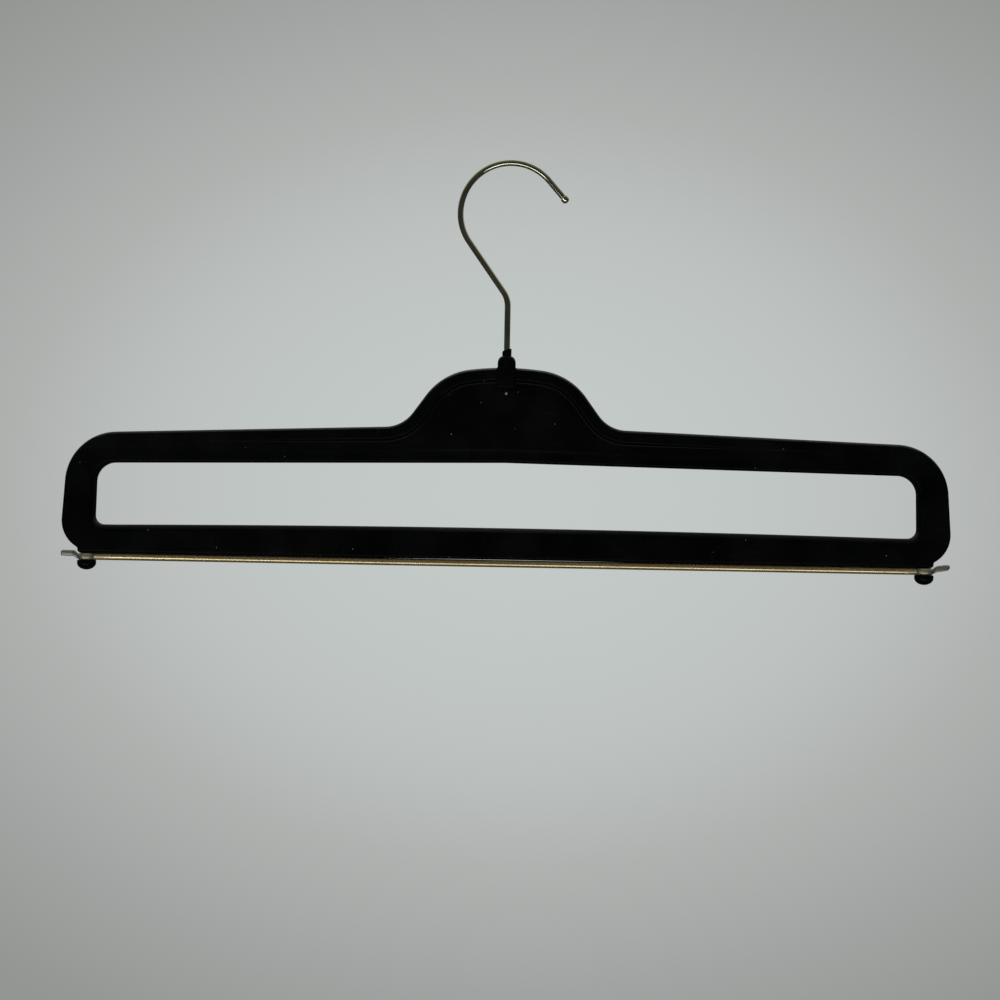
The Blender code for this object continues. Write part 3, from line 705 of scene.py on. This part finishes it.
def hookStations(v):
    tip = v["tip"] / v["wire"]
    radius = v["loopRadius"]
    seat = radius - v["wire"] / 2
    centre = Vector((v["loopOffset"], -math.sqrt(seat ** 2 - v["loopOffset"] ** 2)))
    mouthAngle = math.radians(v["mouth"])
    mouth = centre + radius * Vector((math.cos(mouthAngle), math.sin(mouthAngle)))
    along = Vector((math.sin(mouthAngle), -math.cos(mouthAngle)))
    ends = [(v["tipRound"] - risen, tip + (sunk - v["tipRound"]) * 2 / v["wire"])
            for sunk, risen in quarterTurn(v["tipRound"], v["tipSteps"])][::-1]
    ends += [(v["tipLength"] - v["tipNeck"], tip), (v["tipLength"] - v["tipNeck"] * 0.5, (tip + 1) / 2)]
    ends.append((v["tipLength"], 1.0))
    stations = [(*(mouth + along * (v["mouthRun"] - fromEnd)), swell) for fromEnd, swell in ends]
    backAngle = math.pi + math.radians(v["backRun"])
    steps = math.ceil((backAngle - mouthAngle) / math.radians(v["step"]))
    for k in range(steps + 1):
        angle = mouthAngle + (backAngle - mouthAngle) * k / steps
        stations.append((*(centre + radius * Vector((math.cos(angle), math.sin(angle)))), 1.0))
    back = Vector(stations[-1][:2])
    down = Vector((math.sin(math.radians(v["backRun"])), -math.cos(math.radians(v["backRun"]))))
    knee = back - down * (back.x / down.x)
    stations += [(x, z, 1.0) for x, z in cornerArc(back, knee, Vector((0, v["shankEnd"])), v["bendRadius"])]
    collar = v["collar"] / v["wire"]
    top, height, edge = v["collarTop"], v["collarHeight"], v["collarEdge"]
    stations += [(0, top, 1.0), (0, top - edge, collar), (0, top - height + edge, collar),
                 (0, top - height, 1.0), (0, v["shankEnd"], 1.0)]
    return stations


hookWire = barAlong(
    "hookWire", hookStations(hookValues), hookValues["wire"], hookValues["sides"], agedBrassWire(),
)
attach(hookWire, "hook")
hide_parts("hook")
print("hook bent:", len(hookWire.data.polygons), "faces")


# Glossy black fittings: the bush round the hook's shank and the two mushroom pins

fittingValues = {
    "black": (0.0006, 0.0008, 0.0008), "haze": (0.0028, 0.0030, 0.0028), "hazeShare": 0.5,
    "roughness": (0.14, 0.24), "markRougher": 0.1, "specular": 0.025,
    "cloudScale": 260.0, "scratchScale": (2400.0, 2400.0, 260.0), "waveScale": 700.0,
    "waveRelief": (0.00002, 0.35), "markRelief": (0.000005, 0.7),
}


def glossyBlackPlastic():
    v = fittingValues
    material, tree, surface, place = startMaterial("glossyBlackPlastic")
    clouds = noise(tree, place, v["cloudScale"], 4.0, 0.6)
    scratches = noise(tree, stretched(tree, place, v["scratchScale"]), 1.0, 5.0, 0.65)
    marks = spread(tree, scratches, 0.60, 0.74)
    waves = noise(tree, place, v["waveScale"], 2.0, 0.5)
    tone = mixed(tree, times(tree, marks, v["hazeShare"]), v["black"], v["haze"])
    gloss = spread(tree, clouds, 0.35, 0.7, *v["roughness"])
    gloss = maths(tree, "ADD", gloss, times(tree, marks, v["markRougher"]))
    relief = bumped(tree, waves, *v["waveRelief"])
    relief = bumped(tree, marks, *v["markRelief"], relief)
    setSockets(tree, surface, {
        "Base Color": tone, "Roughness": gloss, "Specular IOR Level": v["specular"], "Normal": relief,
    })
    return material


glossBlack = glossyBlackPlastic()

bushValues = {
    "seat": -0.0979, "bore": 0.0033, "boreEdge": 0.0001,
    "nozzle": 0.0045, "nozzleHeight": 0.0032, "slant": 0.0007, "nozzleEdge": 0.00025, "edgeSteps": 5,
    "creaseHigh": 0.0002, "creaseLow": 0.00004, "creaseOut": 0.00006,
    "dome": 0.0034, "domeSteps": 16, "neck": 0.0088, "neckTop": 0.0020,
    "footGap": 0.00003, "footRound": 0.00010, "footBevel": 0.00003, "spigot": 0.0057, "spigotLength": 0.0035,
}


def buildBush():
    v = bushValues
    bore, nozzle, neck, spigot = v["bore"] / 2, v["nozzle"] / 2, v["neck"] / 2, v["spigot"] / 2
    low = v["footGap"]
    domeLow = v["neckTop"]
    domeTop = domeLow + v["dome"]
    top = domeTop + v["nozzleHeight"]
    edge = v["nozzleEdge"]
    profile = [(bore, top - v["boreEdge"]), (bore + v["boreEdge"], top)]
    arc = quarterTurn(edge, v["edgeSteps"])
    profile += [(nozzle - edge + risen, top - edge + sunk) for sunk, risen in arc]
    profile += [(nozzle, domeTop + v["creaseHigh"]), (nozzle + v["creaseOut"], domeTop + v["creaseLow"])]
    for k in range(1, v["domeSteps"] + 1):
        turn = math.pi / 2 * k / v["domeSteps"]
        profile.append((nozzle + (neck - nozzle) * math.sin(turn), domeLow + v["dome"] * math.cos(turn)))
    profile += [(neck, low + v["footRound"]), (neck - v["footBevel"], low + v["footBevel"]),
                (neck - v["footRound"], low)]
    profile += [(spigot, low), (spigot, -v["spigotLength"]), (bore, -v["spigotLength"])]
    made = lathe("hookBush", profile, material=glossBlack)
    # the nozzle's end is cut slanting
    for vert in made.data.vertices:
        if vert.co.z > domeTop + v["nozzleHeight"] / 2:
            vert.co.z += v["slant"] * vert.co.x / nozzle
        vert.co.z += v["seat"]
    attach(made, "frame")
    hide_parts("hook_bush")


buildBush()

pinValues = {
    "x": 0.2039, "headTop": -0.19510, "head": 0.0089, "headHeight": 0.00475, "headSteps": 20,
    "rim": 0.0014, "topRound": 0.0004, "topSteps": 6,
    "stem": 0.0038, "stemTop": -0.18375, "stemEdge": 0.0005,
}


def buildPin(name, side, node):
    v = pinValues
    head, stem, corner = v["head"] / 2, v["stem"] / 2, v["topRound"]
    profile = []
    for k in range(v["headSteps"] + 1):
        turn = math.pi / 2 * k / v["headSteps"]
        profile.append((head * math.sin(turn), -v["rim"] - (v["headHeight"] - v["rim"]) * math.cos(turn)))
    profile += [(head - corner + sunk, risen - corner) for sunk, risen in quarterTurn(corner, v["topSteps"])]
    height = v["stemTop"] - v["headTop"]
    profile += [(stem, 0), (stem, height - v["stemEdge"]), (stem - v["stemEdge"], height), (0, height)]
    made = lathe(name, profile, (side * v["x"], 0, v["headTop"]), material=glossBlack)
    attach(made, "frame")
    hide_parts(node)


buildPin("leftPivotPin", -1, "left_pivot_pin")
buildPin("rightLatchPin", 1, "right_latch_pin")
print("bush and pins turned")


# Clamp rod: satin brass bar with an eye on each pin and a finger tab past it

rodValues = {
    "bar": 0.0035, "stations": 40, "sides": 48, "pinX": 0.2039, "axis": -0.1933,
    "eye": 0.0090, "eyeHeight": 0.0033, "eyeEdge": 0.0014, "eyeSteps": 5,
    "hole": 0.0044, "cutterHalf": 0.006, "slotBack": 0.009, "slotSteps": 40,
    "reach": 0.0121, "tabDepth": 0.0040, "tabHeight": 0.0027, "tabRaise": 0.0015,
    "tabCorner": 0.0007, "tabCornerSteps": 4, "tabStations": 22, "sharpAngle": 36.0,
    # tab sections from the eye outwards, as shares of reach, depth, height and raise
    "leftTab": ((0.26, 0.85, 0.89, 0.00), (0.37, 0.75, 0.81, 0.07), (0.46, 0.85, 0.89, 0.60),
                (0.52, 1.00, 1.00, 0.93), (0.97, 1.00, 1.00, 1.00), (1.00, 0.88, 0.82, 1.00)),
    "rightTab": ((0.26, 0.85, 0.89, 0.00), (0.37, 0.75, 0.81, 0.10), (0.46, 0.88, 0.92, 0.60),
                 (0.56, 1.00, 1.00, 0.88), (0.86, 1.00, 1.00, 1.26), (0.95, 0.88, 0.86, 1.42),
                 (1.00, 0.55, 0.52, 1.50)),
    "brass": (0.40, 0.322, 0.170), "brown": (0.285, 0.215, 0.090), "bareSteel": (0.17, 0.17, 0.145),
    "speckTone": (0.12, 0.10, 0.06), "edgeTint": (0.75, 0.70, 0.55), "metal": 0.90, "dustySheenMetal": 0.74,
    "roughness": (0.22, 0.30), "dulledRougher": 0.22, "lacquer": 0.6, "lacquerRoughness": 0.18,
    "rubbedFrom": (0.1930, 0.2085), "dulledFrom": (0.1900, 0.1965), "ragged": 0.002,
    "drawnScale": (28.0, 2600.0, 2600.0), "cloudScale": (38.0, 200.0, 200.0), "speckScale": 1500.0,
    "drawnRelief": (0.0000003, 0.3), "speckRelief": (0.0000001, 0.3),
}


def satinBrassRod():
    v = rodValues
    material, tree, surface, place = startMaterial("satinBrassRod")
    drawLines = noise(tree, stretched(tree, place, v["drawnScale"]), 1.0, 5.0, 0.6)
    clouds = noise(tree, stretched(tree, place, v["cloudScale"]), 1.0, 4.0, 0.6)
    specks = noise(tree, place, v["speckScale"], 4.0, 0.7)
    # the plating has rubbed off the eyes and tabs, up to a ragged edge
    fromMiddle = maths(tree, "ABSOLUTE", split(tree, place)[0])
    ends = maths(tree, "ADD", fromMiddle, spread(tree, specks, 0.3, 0.7, -v["ragged"], v["ragged"]))
    rubbed = spread(tree, ends, *v["rubbedFrom"])
    dulled = spread(tree, ends, *v["dulledFrom"])
    tone = mixed(tree, spread(tree, clouds, 0.40, 0.72, 0.0, 0.75), v["brass"], v["brown"])
    tone = mixed(tree, spread(tree, drawLines, 0.50, 0.75, 0.0, 0.45), tone, v["brown"])
    tone = mixed(tree, rubbed, tone, v["bareSteel"])
    tone = mixed(tree, spread(tree, specks, 0.66, 0.74, 0.0, 0.25), tone, v["speckTone"])
    gloss = spread(tree, clouds, 0.3, 0.7, *v["roughness"])
    gloss = maths(tree, "ADD", gloss, times(tree, dulled, v["dulledRougher"]))
    relief = bumped(tree, drawLines, *v["drawnRelief"])
    relief = bumped(tree, specks, *v["speckRelief"], relief)
    # dust on the upper side, close under the rail, takes the polish off there, and the duller top also paints
    # a sheen of light on the rod's upper side
    up = split(tree, addNode(tree, "ShaderNodeTexCoord").outputs["Normal"])[2]
    polish = spread(tree, up, 0.15, 0.75, v["metal"], v["dustySheenMetal"])
    setSockets(tree, surface, {
        "Base Color": tone, "Roughness": gloss, "Metallic": polish, "Normal": relief,
        "Specular Tint": (*v["edgeTint"], 1.0),
        "Coat Weight": v["lacquer"], "Coat Roughness": v["lacquerRoughness"],
    })
    return material


def tabMesh(name, sections, side):
    # a finger tab lofted through rounded rectangles
    v = rodValues
    shares = np.array(sections)
    evenly = np.linspace(shares[0, 0], shares[-1, 0], v["tabStations"])
    places = sorted(set(list(evenly) + list(shares[:, 0])))
    bm = bmesh.new()
    rings = []
    for along in places:
        deep, high, raised = (float(np.interp(along, shares[:, 0], shares[:, k])) for k in (1, 2, 3))
        size = (v["tabDepth"] * deep, v["tabHeight"] * high)
        section = roundedRectangle(*size, v["tabCorner"], v["tabCornerSteps"])
        place = side * (v["pinX"] + v["reach"] * along)
        lift = v["axis"] + v["tabRaise"] * raised
        rings.append([bm.verts.new((place, y, z + lift)) for y, z in section])
    skinRings(bm, rings)
    bm.faces.new(rings[0])
    bm.faces.new(rings[-1])
    return meshObject(name, bm)


def buildRod():
    v = rodValues
    brass = satinBrassRod()
    halfLength, count = v["pinX"], v["stations"]
    stations = [(-halfLength + 2 * halfLength * k / count, v["axis"], 1.0) for k in range(count + 1)]
    bar = barAlong("rodBar", stations, v["bar"], v["sides"], brass)
    eyeRadius, half, edge, hole = v["eye"] / 2, v["eyeHeight"] / 2, v["eyeEdge"], v["hole"] / 2
    arc = quarterTurn(edge, v["eyeSteps"])
    eye = [(0, half)]
    eye += [(eyeRadius - edge + risen, half - edge + sunk) for sunk, risen in arc]
    eye += [(eyeRadius - edge + sunk, edge - half - risen) for sunk, risen in arc]
    eye.append((0, -half))
    drill = cylinder(v["hole"], -v["cutterHalf"], v["cutterHalf"])
    # the right eye is open to the back, so that it snaps over its pin
    slot = bmesh.new()
    turns = [math.pi + math.pi * k / v["slotSteps"] for k in range(v["slotSteps"] + 1)]
    outline = [(hole, v["slotBack"]), (-hole, v["slotBack"])]
    outline += [(hole * math.cos(turn), hole * math.sin(turn)) for turn in turns]
    rings = []
    for z in (-v["cutterHalf"], v["cutterHalf"]):
        rings.append([slot.verts.new((v["pinX"] + x, y, v["axis"] + z)) for x, y in outline])
    skinRings(slot, rings)
    slot.faces.new(rings[0])
    slot.faces.new(rings[1])
    tools = [
        (lathe("leftEyeTool", eye, (-v["pinX"], 0, v["axis"])), "UNION"),
        (lathe("rightEyeTool", eye, (v["pinX"], 0, v["axis"])), "UNION"),
        (tabMesh("leftTabTool", v["leftTab"], -1), "UNION"),
        (tabMesh("rightTabTool", v["rightTab"], 1), "UNION"),
        (lathe("holeTool", drill, (-v["pinX"], 0, v["axis"])), "DIFFERENCE"),
        (meshObject("slotTool", slot), "DIFFERENCE"),
    ]
    made = shapeWith(bar, tools, "clampRod", brass, v["sharpAngle"])
    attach(made, "rod")
    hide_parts("clamp_rod")
    print("clamp rod made:", len(made.data.polygons), "faces")


buildRod()


# Studio: pale surround, a floor far below, and soft lamps

studioValues = {
    "floorHeight": -1.2, "floorRadius": 1.7, "floorSides": 96, "floorFade": 0.45,
    "floorTone": (0.60, 0.62, 0.615), "floorShade": 0.97, "floorGrain": 6.0,
    "floorRoughness": 0.85, "floorSpecular": 0.2,
    # tones behind the hanger, a painted pool of light from the picture's middle out to its darker corners,
    # and all round
    "backdrop": (
        (1.00, (0.545, 0.590, 0.575)), (0.975, (0.510, 0.540, 0.527)), (0.950, (0.432, 0.445, 0.434)),
        (0.915, (0.355, 0.368, 0.358)), (0.880, (0.300, 0.308, 0.296)), (0.840, (0.285, 0.293, 0.283)),
        (0.600, (0.500, 0.520, 0.515)), (0.00, (0.500, 0.520, 0.515)),
    ),
    "backdropWide": 0.80, "backdropHigh": 1.08,
    "fill": 0.34, "glossBase": 0.045, "glossBack": 0.64, "glossTop": 0.14, "glossTint": (1.0, 1.0, 0.98, 1.0),
}


def paleWorld():
    v = studioValues
    world = bpy.data.worlds.new("paleStudio")
    bpy.context.scene.world = world
    world.use_nodes = True
    tree = world.node_tree
    tree.nodes.clear()
    x, y, z = split(tree, addNode(tree, "ShaderNodeTexCoord").outputs["Generated"])

    # painted pool of light: what stands behind the hanger is brightest straight behind it and dims towards
    # the picture's corners
    squeezed = addNode(tree, "ShaderNodeCombineXYZ", {
        0: times(tree, x, v["backdropWide"]), 1: y, 2: times(tree, z, v["backdropHigh"]),
    }).outputs[0]
    straight = addNode(tree, "ShaderNodeVectorMath", {0: squeezed}, operation="NORMALIZE").outputs[0]
    ramp = addNode(tree, "ShaderNodeValToRGB", {0: split(tree, straight)[1]})
    ramp.color_ramp.interpolation = "LINEAR"
    stops = sorted(v["backdrop"])
    while len(ramp.color_ramp.elements) < len(stops):
        ramp.color_ramp.elements.new(0.5)
    for element, (at, tone) in zip(ramp.color_ramp.elements, stops):
        element.position = at
        element.color = (*tone, 1.0)
    seen = addNode(tree, "ShaderNodeBackground", {"Color": ramp.outputs[0], "Strength": 1.0})

    # what polished parts mirror: pale behind and above, dim in front where the camera stands
    behind = times(tree, spread(tree, y, -0.15, 0.45, 0.0, v["glossBack"]), spread(tree, z, 0.02, 0.55))
    above = spread(tree, z, 0.35, 0.85, 0.0, v["glossTop"])
    level = maths(tree, "ADD", maths(tree, "ADD", behind, above), v["glossBase"])
    mirrored = addNode(tree, "ShaderNodeBackground", {"Color": v["glossTint"], "Strength": level})
    fill = addNode(tree, "ShaderNodeBackground", {"Color": (1.0, 1.0, 1.0, 1.0), "Strength": v["fill"]})

    rays = addNode(tree, "ShaderNodeLightPath").outputs
    dull = addNode(tree, "ShaderNodeMixShader", {
        0: rays["Is Glossy Ray"], 1: fill.outputs[0], 2: mirrored.outputs[0],
    })
    direct = larger(tree, rays["Is Camera Ray"], rays["Is Transmission Ray"])
    whole = addNode(tree, "ShaderNodeMixShader", {0: direct, 1: dull.outputs[0], 2: seen.outputs[0]})
    addNode(tree, "ShaderNodeOutputWorld", {"Surface": whole.outputs[0]})


def softFloor():
    v = studioValues
    material, tree, surface, place = startMaterial("paleFloor")
    grain = noise(tree, place, v["floorGrain"], 3.0, 0.5)
    shade = tuple(v["floorShade"] * level for level in v["floorTone"])
    # the floor thins out towards its rim, so that no horizon shows
    away = addNode(tree, "ShaderNodeVectorMath", {0: place}, operation="LENGTH").outputs["Value"]
    shown = spread(tree, away, v["floorRadius"] * v["floorFade"], v["floorRadius"], 1.0, 0.0)
    setSockets(tree, surface, {
        "Base Color": mixed(tree, spread(tree, grain, 0.3, 0.7), v["floorTone"], shade), "Alpha": shown,
        "Roughness": v["floorRoughness"], "Specular IOR Level": v["floorSpecular"],
    })
    bm = bmesh.new()
    sides, radius = v["floorSides"], v["floorRadius"]
    bmesh.ops.create_circle(bm, cap_ends=True, cap_tris=True, segments=sides, radius=radius)
    floor = meshObject("paleFloor", bm, material)
    floor.location.z = v["floorHeight"]
    floor.visible_glossy = False    # polished parts mirror the surround's own tones instead


lampTarget = (0.0, 0.0, -0.12)
lampValues = {
    "lowStrip": {"place": (0.08, -0.63, -0.665), "size": (0.82, 0.30), "power": 2.60, "mirrored": True},
    "slantStrip": {"place": (-0.446, -0.63, -0.493), "size": (0.36, 0.26), "power": 1.15, "mirrored": True,
                   "along": (-0.17, 0.0, 0.33)},
    "leftKey": {"place": (-1.0, -1.1, 0.55), "size": (0.7, 0.7), "power": 18.0, "mirrored": False},
    "rightKey": {"place": (1.0, -1.1, 0.45), "size": (0.7, 0.7), "power": 15.0, "mirrored": False},
    "backKey": {"place": (0.4, 1.3, 0.6), "size": (0.9, 0.9), "power": 20.0, "mirrored": False},
    "topSoft": {"place": (0.0, -0.1, 1.3), "size": (1.0, 1.0), "power": 12.0, "mirrored": False},
}


def hangLamps():
    target = Vector(lampTarget)
    for name, v in lampValues.items():
        data = bpy.data.lights.new(name, "AREA")
        data.shape = "RECTANGLE"
        data.size, data.size_y = v["size"]
        data.energy = v["power"]
        lamp = bpy.data.objects.new(name, data)
        lamp.location = v["place"]
        # the lamp faces the hanger, with its long side along the given direction
        away = (lamp.location - target).normalized()
        across = away.cross(Vector(v.get("along", (1.0, 0.0, 0.0)))).normalized()
        lamp.rotation_euler = Matrix((across.cross(away), across, away)).transposed().to_euler()
        lamp.visible_camera = False
        lamp.visible_glossy = v["mirrored"]
        bpy.context.scene.collection.objects.link(lamp)


paleWorld()
softFloor()
hangLamps()
bpy.context.scene.view_settings.view_transform = "Standard"
print("studio lit")
